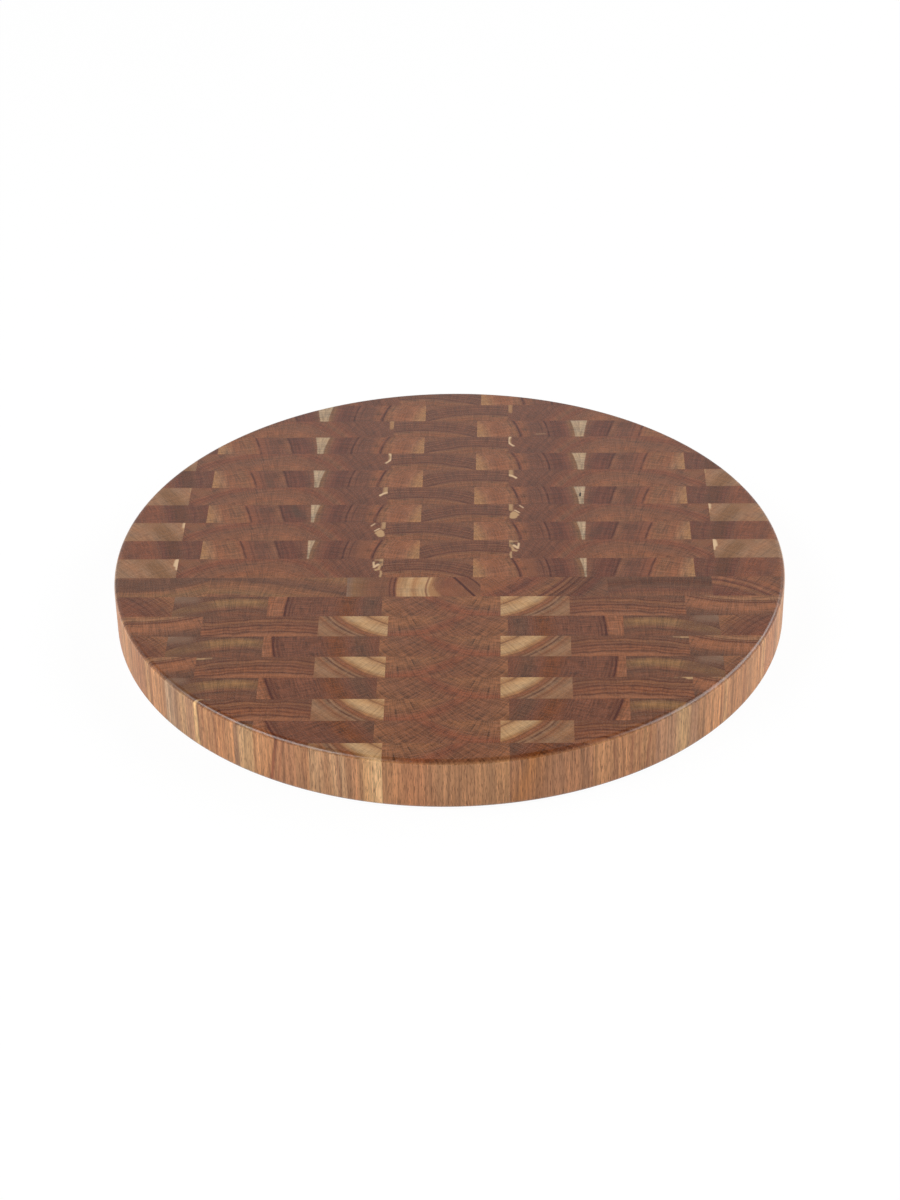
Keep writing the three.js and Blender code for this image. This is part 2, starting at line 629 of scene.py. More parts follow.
# %% Gum lines
PATCH_WAVES = (0.15, 0.15, 0.03)
PATCH_FADE = (0.25, 0.55, 0.45, 1.0)


def gum_line():
    group, given, out = new_group(
        "Gum line",
        {"Color": BLACK, "Radius": 0.0, "Place": PLACE, "At": 0.0, "Width": 1.0, "Strength": 0.5,
         "Gum": BLACK},
        {"Color": 4},
    )
    off = calc(group, "ABSOLUTE", calc(group, "SUBTRACT", given["Radius"], given["At"]))
    inside = fade(group, calc(group, "DIVIDE", off, given["Width"]), 0.0, 1.0, 1.0, 0.0)
    patchy = fade(group, noise(group, stretched(group, given["Place"], PATCH_WAVES))[0], *PATCH_FADE)
    factor = product(group, inside, given["Strength"], patchy)
    feed(group, out["Color"], mix_colour(group, factor, given["Color"], given["Gum"]))
    return group


GUM_LINE = gum_line()
print(f"{GUM_LINE.name}: {len(GUM_LINE.nodes)} nodes")

# %% [markdown]
# ## Marks
#
# Marks are what doesn't follow the rings: pale flecks at a knot, a corner of lighter wood, a smoky
# patch. They could be painted on a texture, but then they would have no depth. Each mark is a soft stroke
# between two points of a slice, and reaches only so far along the stave: into both slabs of one saw cut,
# into one of them, or through the whole stave.

# %% Marks
SHORTEST_STROKE = 0.0001


def mark():
    group, given, out = new_group(
        "Mark",
        {"Color": BLACK, "Place": PLACE, "Start": PLACE, "End": PLACE, "Width": 2.0, "Soft": 0.5,
         "Cut": 0.0, "Depth": SLAB_PAIR / 2, "Paint": BLACK, "Strength": 1.0},
        {"Color": 4},
    )
    run = vector_calc(group, "SUBTRACT", given["End"], given["Start"])
    length = calc(group, "MAXIMUM", vector_calc(group, "DOT_PRODUCT", run, run), SHORTEST_STROKE)
    reach = vector_calc(group, "SUBTRACT", stretched(group, given["Place"], (1, 1, 0)), given["Start"])
    share = calc(group, "DIVIDE", vector_calc(group, "DOT_PRODUCT", reach, run), length)
    nearest = lengthened(group, run, add_node(group, "Clamp", {"Value": share}).outputs[0])
    away = vector_calc(group, "LENGTH", vector_calc(group, "SUBTRACT", reach, nearest))
    past = calc(group, "SUBTRACT", away, calc(group, "MULTIPLY", given["Width"], 0.5))
    inside = fade(group, calc(group, "DIVIDE", past, given["Soft"]), -0.5, 0.5, 1.0, 0.0)
    along = parts_of(group, given["Place"])["Z"]
    middle = calc(group, "SUBTRACT", calc(group, "MULTIPLY", given["Cut"], SLAB_PAIR), SAW_KERF / 2)
    off = calc(group, "ABSOLUTE", calc(group, "SUBTRACT", along, middle))
    near = calc(group, "LESS_THAN", off, given["Depth"])
    factor = product(group, inside, near, given["Strength"])
    feed(group, out["Color"], mix_colour(group, factor, given["Color"], given["Paint"]))
    return group


MARK = mark()
print(f"{MARK.name}: {len(MARK.nodes)} nodes")

# %% [markdown]
# ## Sapwood edge
#
# The outermost rings of a trunk are pale sapwood, and where a stave still holds some, a bone-white wedge
# shows with a crisp inner edge and a darker halo before it. It is a ring like the others, so it is drawn
# by a radius too, but around a pith of its own. That pith leans, and the wedge widens along the stave.

# %% Sapwood edge
HALO_FADE = (-4.5, -0.5, 0.0, 0.8)
SAPWOOD_FADE = (-0.4, 0.4)


def sapwood():
    group, given, out = new_group(
        "Sapwood",
        {"Color": BLACK, "Radius": 0.0, "At": 0.0, "Paint": BLACK, "Halo": BLACK},
        {"Color": 4},
    )
    past = calc(group, "SUBTRACT", given["Radius"], given["At"])
    shaded = mix_colour(group, fade(group, past, *HALO_FADE), given["Color"], given["Halo"])
    feed(group, out["Color"], mix_colour(group, fade(group, past, *SAPWOOD_FADE), shaded, given["Paint"]))
    return group


SAPWOOD = sapwood()
print(f"{SAPWOOD.name}: {len(SAPWOOD.nodes)} nodes")

# %% [markdown]
# ## Palette
#
# The browns of the board are few, and they are named here once, roughly from dark to pale. Every
# stave then picks its colours by name, which keeps the board in one family. They are written as they
# look on a screen, and a helper turns them into the linear light that a shader works in.

# %% Palette
WOOD = {
    "pitch": "#1c1210", "gum": "#45180c", "moss": "#403324", "dusk": "#59311c", "plum": "#633524",
    "chestnut": "#6d3a1a", "slate": "#623e2b", "umber": "#6a3e2a", "russet": "#77432b",
    "walnut": "#73472f", "copper": "#814d30", "ginger": "#7e5033", "olive": "#7a5435",
    "salmon": "#885538", "mist": "#7a5b47", "gold": "#87603a", "sand": "#8f6344", "beige": "#8c6649",
    "honey": "#9d6f47", "bone": "#a58a6d", "cream": "#b28c63", "ivory": "#d0ae88",
}


def linear(hex_colour):
    """A colour as it looks on a screen, as the linear light that a shader works in."""
    channels = [int(hex_colour[i:i + 2], 16) / 255 for i in (1, 3, 5)]
    light = [c / 12.92 if c <= 0.04045 else ((c + 0.055) / 1.055) ** 2.4 for c in channels]
    return (*light, 1.0)


print(f"{len(WOOD)} browns, from {WOOD['pitch']} to {WOOD['ivory']}")

# %% [markdown]
# ## End grain and side grain
#
# End grain drinks oil and goes dark and smooth, and its pores are dots. The rim shows the same fibres
# from the side: it is lighter and duller, and the pores become short upright dashes between long streaks.
# Two materials could do this, with a hard line between them on the rounded edge. Here the surface normal
# blends one into the other instead, as the fibres do on the real edge. All the noises are drawn out
# along the stave, because pores are tubes that run with the fibres.

# %% End grain and side grain
SIDE_TINT = (1.28, 1.01, 0.67, 1.0)
SIDE_GAMMA = 0.52
SIDE_ROUGHNESS = 0.55
END_ROUGHNESS = 0.25
PORE_WAVES = (1.5, 1.5, 0.05)
PORE_FADE = (0.56, 0.72)
PORE_SHARE = 0.16
PORE_BROWN = "#3a2015"
PORE_ROUGHNESS = 0.12
DASH_WAVES = (3.2, 3.2, 0.2)
DASH_FADE = (0.53, 0.64)
DASH_SHARE = 0.6
DASH_BROWN = "#5a3218"
STREAK_WAVES = (0.6, 0.6, 0.02)
STREAK_FADE = (0.25, 0.75, 0.63, 1.38)
STREAK_DETAIL = 4.0
FIBRE_ROUGH = 0.6
POLISH_FADE = (0.05, 0.4)


def grain_direction():
    group, given, out = new_group(
        "Grain direction",
        {"Color": BLACK, "Grain": PLACE, "Side tint": SIDE_TINT},
        {"Color": 4, "Roughness": float, "Height": float},
    )

    def fibres(waves, limits, detail=1.0):
        spot = stretched(group, given["Grain"], waves)
        return fade(group, noise(group, spot, detail, FIBRE_ROUGH)[0], *limits)

    pores = fibres(PORE_WAVES, PORE_FADE)
    dashes = fibres(DASH_WAVES, DASH_FADE)
    streak = fibres(STREAK_WAVES, STREAK_FADE, STREAK_DETAIL)
    pale = add_node(group, "Gamma", {"Color": given["Color"], "Gamma": SIDE_GAMMA}).outputs["Color"]
    tinted = mix_colour(group, 1.0, pale, given["Side tint"], "MULTIPLY")
    streaked = mix_colour(group, 1.0, tinted, together(group, streak, streak, streak), "MULTIPLY")
    side = mix_colour(group, calc(group, "MULTIPLY", dashes, DASH_SHARE), streaked, linear(DASH_BROWN))
    dotted = calc(group, "MULTIPLY", pores, PORE_SHARE)
    top = mix_colour(group, dotted, given["Color"], linear(PORE_BROWN))
    end = end_share(group)
    polish = fade(group, facing_share(group), *POLISH_FADE, SIDE_ROUGHNESS, END_ROUGHNESS)
    feed(group, out["Color"], mix_colour(group, end, side, top))
    dull = calc(group, "MULTIPLY", pores, PORE_ROUGHNESS)
    feed(group, out["Roughness"], calc(group, "ADD", polish, dull))
    feed(group, out["Height"], calc(group, "MULTIPLY", calc(group, "SUBTRACT", 1.0, pores), end))
    return group


GRAIN_DIRECTION = grain_direction()
print(f"{GRAIN_DIRECTION.name}: {len(GRAIN_DIRECTION.nodes)} nodes")

# %% [markdown]
# ## Staves of the rear panel
#
# A photo of each slice could be laid on its block, but it couldn't say how the wood goes on down the
# rim. So a stave is told by its pith and by the browns met on the way out from it. Each brown is pinned
# to a place on the slice, on one straight line across the panel or through it, in millimetres. Its
# distance from the pith becomes a stop of a colour ramp. Lines are gum lines: a place, a width and a
# strength. A mark has its saw cut, width, softness, colour and strength, and then the points of its
# stroke. A whole cut number reaches into both slabs of that cut, a quarter more only into the slab of
# the unturned row, a quarter less only into that of the turned row, and "all" through the whole stave.
# Sapwood has its own pith, a place on its inner edge, its lean and the brown of its halo.

# %% Staves of the rear panel
def across_at(through, items):
    """What is met on a line across the panel: each item starts with its place on that line."""
    return [(place, through, *rest) for place, *rest in items]


def through_at(across, items):
    """What is met on a line through the panel: each item starts with its place on that line."""
    return [(across, place, *rest) for place, *rest in items]


STAVES = {
    "plum": {
        "pith": (-248, -18),
        "browns": across_at(0, [
            (-202, "copper"), (-193, "umber"), (-184, "russet"), (-178, "russet"), (-173, "umber"),
            (-171, "plum"), (-167, "dusk"), (-163, "dusk"), (-159, "umber"), (-156, "plum"),
            (-153, "umber"), (-148, "plum"),
        ]),
        "lines": across_at(0, [
            (-172, 0.8, 0.35), (-159, 0.6, 0.4), (-156, 0.5, 0.3), (-152.5, 0.6, 0.4),
        ]),
    },
    "caramel": {
        "pith": (-330, -55),
        "browns": across_at(0, [
            (-148, "honey"), (-143, "sand"), (-138, "copper"), (-128, "ginger"), (-124, "copper"),
            (-121, "russet"), (-114, "umber"), (-109, "umber"), (-103.5, "walnut"), (-100, "plum"),
            (-92, "plum"), (-86, "umber"), (-82, "plum"),
        ]),
        "lines": across_at(0, [
            (-122.3, 1.2, 0.9), (-101.5, 1.2, 0.9), (-97, 0.8, 0.6), (-117, 0.7, 0.35),
            (-92, 0.7, 0.35), (-132, 0.7, 0.25),
        ]),
        "marks": [
            (1.25, 5, 9, "moss", 0.6, (-95, 7), (-91.5, -2)),
            (0.75, 4, 9, "moss", 0.3, (-93, 3), (-91, -4)),
            (2, 4, 8, "moss", 0.35, (-113, -1), (-111, -8)),
        ],
        "sapwood": {"pith": (-330, -5), "from": (-83.6, -5), "lean": (0, -0.1), "halo": "walnut"},
    },
    "salmon": {
        "pith": (17, -14.5),
        "browns": across_at(0, [
            (-83, "walnut"), (-76, "umber"), (-72, "plum"), (-66, "plum"), (-61, "umber"),
            (-56, "umber"), (-51, "umber"), (-46, "copper"), (-43.5, "russet"), (-40, "ginger"),
            (-36, "salmon"), (-30, "copper"), (-24, "salmon"), (-17, "honey"),
        ]),
        "lines": across_at(0, [
            (-61.5, 1.3, 0.95), (-57.5, 0.8, 0.5), (-65.5, 0.8, 0.5), (-70, 0.7, 0.3),
            (-42.5, 1.3, 1.0), (-34, 0.5, 0.25), (-27, 0.5, 0.2),
        ]),
        "marks": [
            (3.75, 1.6, 1.6, "beige", 0.8, (-54.2, -7), (-59.4, -6.6)),
            (1.75, 1.4, 0.8, "pitch", 0.95, (-82.2, 2.6), (-81.6, -0.2)),
            (0, 4, 9, "copper", 0.8, (-50, 8), (-52, -8)),
        ],
        "sapwood": {"pith": (17, -14.5), "from": (-81.6, 0), "lean": (0.0115, 0), "halo": "olive"},
    },
    "banded": {
        "pith": (20, -75), "wander": 2.2, "rays": 1.4,
        "browns": through_at(20, [
            (11, "walnut"), (7.4, "umber"), (6, "walnut"), (3, "umber"), (1.6, "walnut"),
            (-0.6, "umber"), (-2.2, "walnut"), (-4, "ginger"), (-7, "copper"), (-9, "ginger"),
            (-11, "walnut"), (-16, "copper"),
        ]),
        "lines": through_at(20, [
            (4.4, 1.0, 0.65), (-1.2, 1.0, 0.7), (1.8, 0.7, 0.4), (7, 0.8, 0.45), (-9.5, 0.8, 0.45),
            (9.4, 0.7, 0.35), (-5.6, 0.7, 0.3),
        ]),
    },
    "arched": {
        "pith": (104, -74), "flank": 0.8, "wander": 2.2,
        "browns": through_at(104, [
            (-12, "ginger"), (-4, "copper"), (2, "walnut"), (6, "walnut"), (10, "russet"),
            (13, "russet"), (15.5, "walnut"), (18, "walnut"), (22, "russet"), (29, "umber"),
            (40, "umber"), (60, "umber"),
        ]),
        "lines": through_at(104, [
            (12.2, 0.9, 0.35), (5, 0.7, 0.3), (-3, 0.7, 0.25), (9, 0.6, 0.3), (23, 1.2, 0.35),
            (30, 1.6, 0.35), (37, 1.2, 0.3), (45, 1.6, 0.3),
        ]),
        "marks": [
            ("all", 3.0, 1.6, "cream", 0.6, (38.4, 9.5), (38.6, 3.5)),
            ("all", 6, 6, "ginger", 0.7, (159, 8), (152, 6)),
            (0, 1.4, 1.4, "cream", 0.7, (38.2, 8.2), (42.5, 8.4)),
            (0, 2.0, 1.4, "moss", 0.6, (39, 6), (41, 4)),
            (0, 1.3, 0.9, "ivory", 0.9, (43.2, 6), (42.8, 2.2)),
            (0, 1.8, 1.0, "ivory", 0.95, (40.4, 3.6), (42.4, 0.8)),
            (0, 1.6, 1.0, "cream", 0.95, (39, 1.8), (39.6, -1.2), (41.4, -2)),
            (0, 1.3, 1.0, "cream", 0.85, (38.4, -3.2), (38.2, -6), (38.6, -9)),
            (1, 1.8, 2.2, "cream", 0.6, (38.4, 9), (38.6, 5)),
            (1, 4.6, 1.2, "cream", 1.0, (40.2, -1.4), (40, -4.6)),
            (1, 2.2, 1.0, "cream", 0.95, (40.2, 0.6), (42.4, -2.6)),
            (1, 1.1, 0.9, "ivory", 0.9, (41, 3), (43.5, 0.3)),
            (1, 0.9, 0.9, "ivory", 0.8, (44.3, 8.3), (46.3, 5.7)),
            (2, 1.8, 1.0, "ivory", 1.0, (37.8, 4.4), (41.9, 0.9)),
            (2, 1.6, 1.4, "cream", 0.5, (38, 9.5), (38.2, 5)),
            (3, 1.4, 0.9, "ivory", 0.95, (39.2, 10), (38, 6.2), (38.5, 3), (41.4, -1.2)),
            (4, 2.6, 1.0, "honey", 0.8, (39.3, 9), (39.3, 1)),
        ],
    },
    "beige": {
        "pith": (262, -60), "fine": 1.0, "rays": 0.9,
        "browns": across_at(0, [
            (160, "sand"), (165, "beige"), (170, "olive"), (176, "olive"), (181, "beige"),
            (187, "sand"), (196, "beige"),
        ]),
        "lines": across_at(0, [
            (166, 0.8, 0.15),
        ]),
        "marks": [
            ("all", 6, 5, "sand", 0.7, (180, 8), (184, 4)),
            (0, 5.0, 1.4, "ivory", 1.0, (160.4, 8.4), (160.8, 4)),
            (0, 2.4, 1.2, "ivory", 0.95, (160.8, 3), (160.6, -0.6)),
            (1, 3.0, 1.4, "ivory", 0.9, (160.4, 8.6), (160.4, 5)),
            (1, 1.4, 1.2, "cream", 0.8, (160.4, 4), (160.4, 0)),
            (2, 1.6, 1.4, "cream", 0.6, (160.6, 9), (160.4, 6)),
        ],
    },
}
print(f"rear panel: {', '.join(STAVES)}")

# %% [markdown]
# ## Staves of the front panel
#
# The front panel has seven staves. One still holds a lot of pale sapwood, one ripples, one is all fine
# rays, and a plain reddish one ends in a lighter flap behind a gum line. Fine and rays set how strong a
# stave's hatching is, and wander how much its rings waver. Where the long grain on the rim is greyer
# than the rule gives, side is the stave's own tint for it.

# %% Staves of the front panel
STAVES.update({
    "saddle": {
        "pith": (-180, 105), "rays": 1.5,
        "browns": through_at(-180, [
            (10, "ginger"), (6, "sand"), (3.6, "walnut"), (1, "salmon"), (-4, "salmon"), (-8, "walnut"),
            (-11, "slate"),
        ]),
        "lines": through_at(-180, [
            (4.9, 0.8, 0.7), (2.7, 0.9, 0.8), (8.4, 0.6, 0.3),
        ]),
    },
    "rippled": {
        "pith": (-100, -170), "wander": 4.2, "rays": 1.2,
        "browns": through_at(-100, [
            (13, "slate"), (8, "walnut"), (6, "ginger"), (2, "walnut"), (-2, "copper"), (-5, "walnut"),
            (-8, "salmon"), (-11, "copper"),
        ]),
        "lines": through_at(-100, [
            (7.5, 1.2, 0.7), (4, 1.0, 0.6), (1.2, 1.2, 0.75), (-2, 1.0, 0.6), (-5, 1.1, 0.65),
            (10, 0.8, 0.4),
        ]),
        "marks": [
            ("all", 10, 14, "plum", 0.3, (-92, 8), (-74, -2)),
            (1, 1.3, 1.0, "cream", 0.8, (-141, 9.4), (-136, 9.6)),
            (1, 1.0, 1.2, "cream", 0.5, (-136, 9.6), (-131, 9.9)),
            (2, 3.4, 1.2, "cream", 0.9, (-141, 8.6), (-138, 9)),
            (2, 2.2, 1.2, "cream", 0.8, (-138, 9.1), (-134, 9.6)),
            (2, 1.2, 1.2, "cream", 0.5, (-134, 9.8), (-130, 10)),
        ],
    },
    "sapwood": {
        "pith": (-13, 44), "lean": (0.025, 0), "fine": 1.0, "rays": 0.9, "side": (1.27, 1.02, 0.74, 1.0),
        "browns": through_at(-11, [
            (5, "cream"), (-2, "honey"), (-8, "cream"), (-11.5, "cream"), (-13.8, "honey"),
            (-16.4, "copper"), (-18.5, "ginger"), (-20, "beige"), (-22, "beige"), (-24.5, "ginger"),
            (-29, "beige"), (-40, "ginger"),
        ]),
        "lines": through_at(-11, [
            (-21, 1.4, 0.75), (-18.1, 1.0, 0.4), (-15.3, 1.0, 0.4), (-2.5, 1.0, 0.6), (4, 0.8, 0.3),
            (-25, 0.7, 0.25),
        ]),
    },
    "rayed": {
        "pith": (-32, 45), "rays": 2.0, "fine": 1.9,
        "browns": through_at(-32, [
            (8, "ginger"), (0, "ginger"), (-5, "walnut"), (-8, "russet"), (-11, "russet"),
            (-15, "walnut"), (-24, "walnut"), (-40, "ginger"),
        ]),
    },
    "chestnut": {
        "pith": (-60, -8), "lean": (0.07, 0.36), "fine": 1.8, "rays": 2.0,
        "browns": across_at(0, [
            (36, "umber"), (42, "slate"), (46, "slate"), (50, "umber"), (57, "chestnut"), (66, "umber"),
            (76, "umber"), (85, "umber"), (90, "umber"), (93, "umber"), (94, "copper"), (99, "salmon"),
            (104, "copper"),
        ]),
        "lines": across_at(0, [
            (90.5, 1.0, 0.6), (93.2, 1.5, 1.0), (88.5, 0.6, 0.3), (97.5, 0.5, 0.2),
        ]),
    },
    "olive": {
        "pith": (118, -62), "side": (1.32, 1.12, 0.84, 1.0),
        "browns": through_at(108, [
            (-11, "umber"), (-7, "walnut"), (-4.5, "slate"), (-2, "walnut"), (0.5, "olive"),
            (4, "gold"), (7, "olive"), (9, "slate"), (12, "slate"), (15, "slate"), (19, "mist"),
            (27, "mist"),
        ]),
        "lines": through_at(108, [
            (-3.5, 0.9, 0.45), (8.5, 0.9, 0.45), (11, 0.8, 0.45), (14, 0.8, 0.45), (-7, 0.8, 0.4),
        ]),
        "marks": [
            ("all", 8, 8, "slate", 0.8, (155, -8), (136, -11)),
            ("all", 7, 8, "slate", 0.8, (149, 0), (139, 1)),
            ("all", 7, 7, "mist", 0.8, (159, 7), (148, 8)),
            ("all", 7, 9, "slate", 0.5, (104, 9), (104, -9)),
        ],
    },
    "russet": {
        "pith": (240, -60),
        "browns": across_at(0, [
            (159, "ginger"), (166, "walnut"), (176, "umber"), (190, "russet"),
        ]),
        "lines": across_at(0, [
            (161, 1.5, 0.4), (166.5, 0.9, 0.5), (171, 1.8, 0.35), (176.5, 0.8, 0.4), (182, 1.2, 0.4),
        ]),
    },
})
print(f"with the front panel: {len(STAVES)} staves")

# %% [markdown]
# ## Staves of the middle strip
#
# Row 12 is a single strip from a panel of its own, so none of its staves comes back in another row. It
# could borrow from its neighbours, but its odd figure is what shows that three panels were joined: a
# flame of sapwood across dark rings, and beside it two cracks filled with gum.

# %% Staves of the middle strip
STAVES.update({
    "dusky": {
        "pith": (-185, 87),
        "browns": through_at(-185, [
            (11, "walnut"), (6, "slate"), (-3, "slate"), (-6.5, "ginger"), (-12, "olive"),
            (-20, "ginger"),
        ]),
        "lines": through_at(-185, [
            (-4.5, 0.9, 0.35), (1, 0.7, 0.25), (7, 0.7, 0.25),
        ]),
    },
    "feathered": {
        "pith": (-141, -200), "wander": 2.0,
        "browns": through_at(-141, [
            (-12, "slate"), (-8, "walnut"), (-5, "olive"), (1, "ginger"), (4, "ginger"), (9, "slate"),
            (14, "walnut"), (24, "olive"),
        ]),
        "lines": through_at(-141, [
            (4, 0.7, 0.3), (8, 0.7, 0.3),
        ]),
    },
    "flamed": {
        "pith": (24, -2), "fine": 0.9, "rays": 0.7,
        "browns": across_at(-2, [
            (-58, "mist"), (-54, "olive"), (-44, "walnut"), (-36, "walnut"), (-29.8, "russet"),
            (-28.6, "honey"), (-22, "cream"), (-19, "honey"), (-15, "cream"), (-12.6, "cream"),
            (-11.6, "ginger"), (-10.6, "cream"), (-9.4, "honey"), (-7, "ginger"), (0, "russet"),
            (20, "ginger"),
        ]),
        "lines": across_at(-2, [
            (-33, 0.8, 0.7), (-30.4, 1.0, 0.8), (-11.6, 0.7, 0.25), (-37.5, 0.6, 0.3),
        ]),
        "marks": [
            (0, 4, 2.5, "honey", 0.85, (-8.5, -1), (-6.5, -10)),
            (0, 3, 2.5, "honey", 0.7, (-6, -6), (-4, -10.5)),
            (0, 6, 5, "salmon", 0.5, (1, -4), (5, -8)),
            (0, 5, 3, "plum", 0.55, (10, 10), (19, -4)),
            (0, 1.6, 0.9, "gum", 1.0, (4.7, 10.5), (17.6, -10.5)),
            (0, 1.3, 0.9, "gum", 0.85, (13.3, 10.5), (18, 4.5), (21.2, -1)),
        ],
    },
    "slanted": {
        "pith": (-23, 70),
        "browns": across_at(0, [
            (15, "copper"), (28, "copper"), (38, "russet"), (44, "plum"), (49, "russet"),
            (56, "walnut"), (61, "ginger"), (65, "plum"), (67.5, "ginger"), (69.5, "dusk"),
            (71.5, "walnut"), (73.5, "dusk"), (77, "walnut"), (80, "dusk"), (84, "plum"), (89, "slate"),
            (95, "walnut"), (104, "slate"),
        ]),
        "lines": across_at(0, [
            (64.8, 0.9, 0.7), (69.3, 0.9, 0.75), (73, 0.9, 0.7), (76, 0.7, 0.4), (80, 1.0, 0.6),
            (45, 1.2, 0.3), (86, 0.8, 0.3),
        ]),
    },
    "smoky": {
        "pith": (130, -200),
        "browns": through_at(130, [
            (11, "slate"), (5, "dusk"), (1, "slate"), (-3, "umber"), (-7, "walnut"), (-11, "walnut"),
        ]),
        "lines": through_at(130, [
            (6, 0.8, 0.35), (2.5, 0.7, 0.3), (-4, 0.7, 0.25),
        ]),
    },
    "curled": {
        "pith": (143, -60),
        "browns": through_at(143, [
            (-4, "plum"), (3, "umber"), (6.5, "ginger"), (9, "plum"), (11.5, "salmon"), (14, "umber"),
            (17, "copper"), (22, "walnut"),
        ]),
        "lines": through_at(143, [
            (8.5, 0.8, 0.35), (13.5, 0.8, 0.35), (3, 0.7, 0.3),
        ]),
    },
})
print(f"with the middle strip: {len(STAVES)} staves")

# %% [markdown]
# ## Layers of a stave
#
# The wood of a stave is built up in layers, as a grainer paints wood: the ground of browns first, then a
# sapwood edge where there is one, and the gum lines and marks over the hatching. One long function could
# do it all, but a short one for each layer can be read, and tried, by itself.

# %% Layers of a stave
SAPWOOD_WANDER = 0.5
WHOLE_STAVE = 1000.0


def radius_at(stave, across, through):
    """How far a place on the slice lies from the stave's pith, squeezed on its flank as the rings are."""
    spoke = Vector((across, through)) - Vector(stave["pith"])
    spoke.x += min(spoke.x, 0) * stave.get("flank", 0.0)
    return spoke.length


def browns_by_radius(stave):
    """The browns of a stave from its pith outwards, each with its radius."""
    pinned = stave["browns"]
    return sorted((radius_at(stave, across, through), brown) for across, through, brown in pinned)


def ground(tree, radius, browns):
    """The colour at a radius, blended between the browns pinned on either side of it."""
    inner, outer = browns[0][0], browns[-1][0]
    span = {"Value": radius, "From Min": inner, "From Max": outer}
    ramp = add_node(tree, "ValToRGB", {0: add_node(tree, "MapRange", span).outputs["Result"]})
    stops = ramp.color_ramp.elements
    stops[0].color = linear(WOOD[browns[0][1]])
    stops[1].color = linear(WOOD[browns[-1][1]])
    for place, brown in browns[1:-1]:
        stops.new((place - inner) / (outer - inner)).color = linear(WOOD[brown])
    return ramp.outputs["Color"]


def with_sapwood(tree, colour, edge, grain, seed):
    rings = use_group(
        tree, RINGS, grain=grain, pith=(*edge["pith"], 0), lean=(*edge["lean"], 0),
        wander=SAPWOOD_WANDER, seed=seed,
    )
    return use_group(
        tree, SAPWOOD, color=colour, radius=rings["Radius"],
        at=(Vector(edge["from"]) - Vector(edge["pith"])).length,
        paint=linear(WOOD["bone"]), halo=linear(WOOD[edge["halo"]]),
    )["Color"]


def with_gum_lines(tree, colour, stave, rings):
    for across, through, width, strength in stave.get("lines", []):
        colour = use_group(
            tree, GUM_LINE, color=colour, radius=rings["Radius"], place=rings["Place"],
            at=radius_at(stave, across, through), width=width, strength=strength,
            gum=linear(WOOD["gum"]),
        )["Color"]
    return colour


def slab_reach(cut):
    """The saw cut of a mark, and how far the mark reaches along the stave."""
    if cut == "all":
        return {"depth": WHOLE_STAVE}
    both_slabs = cut == int(cut)
    return {"cut": cut, "depth": SLAB_PAIR / 2 if both_slabs else SLAB_PAIR / 4}


def with_marks(tree, colour, stave, rings):
    for cut, width, soft, paint, strength, *points in stave.get("marks", []):
        for start, end in zip(points, points[1:]):
            colour = use_group(
                tree, MARK, color=colour, place=rings["Place"], start=(*start, 0), end=(*end, 0),
                width=width, soft=soft, paint=linear(WOOD[paint]), strength=strength, **slab_reach(cut),
            )["Color"]
    return colour


widest = max(STAVES, key=lambda name: browns_by_radius(STAVES[name])[-1][0])
print(f"{widest} has the widest rings, {browns_by_radius(STAVES[widest])[-1][0]:.0f} mm from its pith")

# %% [markdown]
# ## The woods
#
# Each stave becomes one material. One large material could serve the whole board and pick the stave by
# an attribute, but a small one for each stave is easier to read and to change. The shader stays plain,
# a Principled BSDF: the layers give its colour, the grain direction its roughness, and the pores a faint
# bump.

# %% The woods
RING_SHARE = 0.4
FINE_SHARE = 1.4
RAY_SHARE = 1.6
MOTTLE_SHARE = 0.25
WARMTH_SHARE = 0.4
RING_SEED_STEP = 3.7
FIGURE_SEED_STEP = 1.3
PORE_DEPTH = 0.1 * MM
PORE_BUMP = 0.2


def wood_material(name, number):
    stave = STAVES[name]
    browns = browns_by_radius(stave)
    seed = number * RING_SEED_STEP
    material = bpy.data.materials.new(f"{name}_wood")
    material.use_nodes = True
    tree = material.node_tree
    tree.nodes.clear()
    grain = add_node(tree, "Attribute", attribute_name="grain").outputs["Vector"]
    rings = use_group(
        tree, RINGS, grain=grain, pith=(*stave["pith"], 0), lean=(*stave.get("lean", (0, 0)), 0),
        flank=stave.get("flank", 0.0), wander=stave.get("wander", 1.0), seed=seed,
    )
    colour = ground(tree, rings["Radius"], browns)
    if "sapwood" in stave:
        colour = with_sapwood(tree, colour, stave["sapwood"], grain, seed)
    colour = use_group(
        tree, FIGURE, color=colour, radius=rings["Radius"], angle=rings["Angle"], grain=grain,
        reach=(browns[0][0] + browns[-1][0]) / 2, rings=RING_SHARE,
        fine=stave.get("fine", FINE_SHARE), rays=stave.get("rays", RAY_SHARE),
        mottle=MOTTLE_SHARE, warmth=WARMTH_SHARE, seed=number * FIGURE_SEED_STEP,
    )["Color"]
    colour = with_gum_lines(tree, colour, stave, rings)
    colour = with_marks(tree, colour, stave, rings)
    surface = use_group(
        tree, GRAIN_DIRECTION, color=colour, grain=grain, side_tint=stave.get("side", SIDE_TINT),
    )
    bump = add_node(
        tree, "Bump", {"Height": surface["Height"], "Strength": PORE_BUMP, "Distance": PORE_DEPTH},
    )
    shader = add_node(tree, "BsdfPrincipled", {
        "Base Color": surface["Color"],
        "Roughness": surface["Roughness"],
        "Normal": bump.outputs["Normal"],
    })
    add_node(tree, "OutputMaterial", {"Surface": shader.outputs["BSDF"]})
    return material


woods = {name: wood_material(name, number) for number, name in enumerate(STAVES)}
print(f"{len(woods)} woods, {sum(len(wood.node_tree.nodes) for wood in woods.values())} nodes in all")

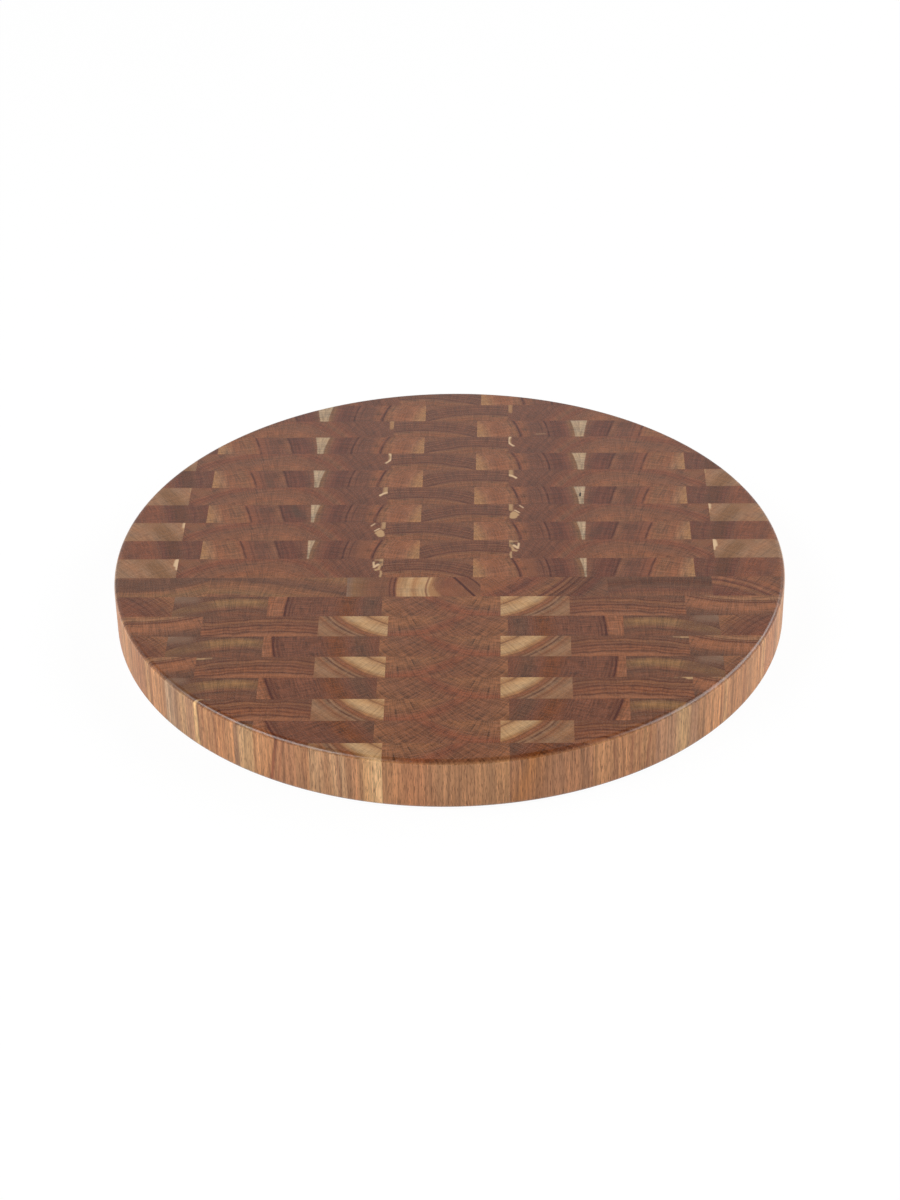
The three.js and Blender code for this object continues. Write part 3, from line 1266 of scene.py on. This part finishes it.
# %% [markdown]
# ## Dressing the blocks
#
# Each block gets the wood of its stave and rides on the board's one body, and the CAD run that it is
# part of is hidden. The CAD runs could have been kept and coloured instead, but one run holds several
# staves, and a stave is what carries the grain.

# %% Dressing
for block, stave, node in blocks:
    block.data.materials.clear()
    block.data.materials.append(woods[stave])
    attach(block, "root")
    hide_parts(node)

# %% [markdown]
# ## Floor
#
# The board lies on white paper. A white floor under these lamps would render grey, and stronger lamps
# would bleach the wood. So the paper itself glows white for the camera and in reflections, and a small
# share of its lit surface stays in the mix, which keeps a soft shadow where the board touches it.

# %% Floor
FLOOR_SIZE = 40
PAPER = (0.86, 0.86, 0.86, 1.0)
WHITE = (1.0, 1.0, 1.0, 1.0)
PAPER_GLOW = 1.01
SHADOW_SHARE = 0.06

select_nothing()
bpy.ops.mesh.primitive_plane_add(size=FLOOR_SIZE)
floor = bpy.context.object
floor.name = "floor"
paper = bpy.data.materials.new("white_paper")
paper.use_nodes = True
tree = paper.node_tree
tree.nodes.clear()
lit = add_node(tree, "BsdfDiffuse", {"Color": PAPER})
glow = add_node(tree, "Emission", {"Color": WHITE, "Strength": PAPER_GLOW})
path = add_node(tree, "LightPath").outputs
seen = calc(tree, "MAXIMUM", path["Is Camera Ray"], path["Is Glossy Ray"])
seen = calc(tree, "MAXIMUM", seen, path["Is Transmission Ray"])
factor = calc(tree, "MULTIPLY", seen, 1 - SHADOW_SHARE)
blend = add_node(tree, "MixShader", {0: factor, 1: lit.outputs[0], 2: glow.outputs[0]})
add_node(tree, "OutputMaterial", {"Surface": blend.outputs[0]})
floor.data.materials.append(paper)
print(f"floor {FLOOR_SIZE} m wide")

# %% [markdown]
# ## Lamps
#
# Two large soft lamps light the board as in a product studio, one at the front left and one on the
# right. Their reflections draw the bright line along the rounded edge. A lamp low behind the board would
# give the top more shine, but also a glare from other sides, so both stand high. They are only as strong
# as it takes for a colour to render about as it is written.

# %% Lamps
LAMPS = {
    "left_lamp": {"place": (-1.75, -0.75, 1.9), "size": (2.4, 1.2), "power": 56},
    "right_lamp": {"place": (2.08, 0.4, 1.6), "size": (3.2, 1.4), "power": 61},
}


def soft_lamp(name, place, size, power):
    lamp = bpy.data.lights.new(name, "AREA")
    lamp.shape = "RECTANGLE"
    lamp.size, lamp.size_y = size
    lamp.energy = power
    made = bpy.data.objects.new(name, lamp)
    made.location = place
    made.rotation_mode = "QUATERNION"
    made.rotation_quaternion = (-Vector(place)).to_track_quat("-Z", "Y")
    bpy.context.collection.objects.link(made)


for name, lamp in LAMPS.items():
    soft_lamp(name, **lamp)
    print(f"{name}: {lamp['power']} W from {Vector(lamp['place']).length:.1f} m away")

# %% [markdown]
# ## The room
#
# The room is a bright band above the horizon, dark overhead, and dimmer near the floor and behind the
# camera. The oiled top mirrors that band as a haze that grows towards the back. An even white room would
# be simpler, but it would wash out the whole top. To the camera the room is plain white.

# %% The room
HORIZON_LEVEL = 0.92
CEILING_LEVEL = 0.0
LOW_SHARE = 0.4
CAMERA_SIDE_SHARE = 0.25
CEILING_FADE = (0.5, 0.65)
LOW_FADE = (0.2, 0.42)
CAMERA_SIDE_FADE = (-0.9, 0.0)

world = bpy.data.worlds.new("studio")
bpy.context.scene.world = world
world.use_nodes = True
tree = world.node_tree
tree.nodes.clear()
towards = parts_of(tree, add_node(tree, "TexCoord").outputs["Generated"])
band = fade(tree, towards["Z"], *CEILING_FADE, HORIZON_LEVEL, CEILING_LEVEL)
near_floor = fade(tree, towards["Z"], *LOW_FADE, LOW_SHARE, 1.0)
camera_side = fade(tree, towards["Y"], *CAMERA_SIDE_FADE, CAMERA_SIDE_SHARE, 1.0)
light = product(tree, band, near_floor, camera_side)
path = add_node(tree, "LightPath").outputs
seen = calc(tree, "MAXIMUM", path["Is Camera Ray"], path["Is Transmission Ray"])
sky = add_node(tree, "Background", {"Color": WHITE, "Strength": calc(tree, "MAXIMUM", seen, light)})
add_node(tree, "OutputWorld", {"Surface": sky.outputs[0]})
bpy.context.scene.view_settings.view_transform = "Standard"
print(f"room: {HORIZON_LEVEL} in the band, {CEILING_LEVEL} overhead")
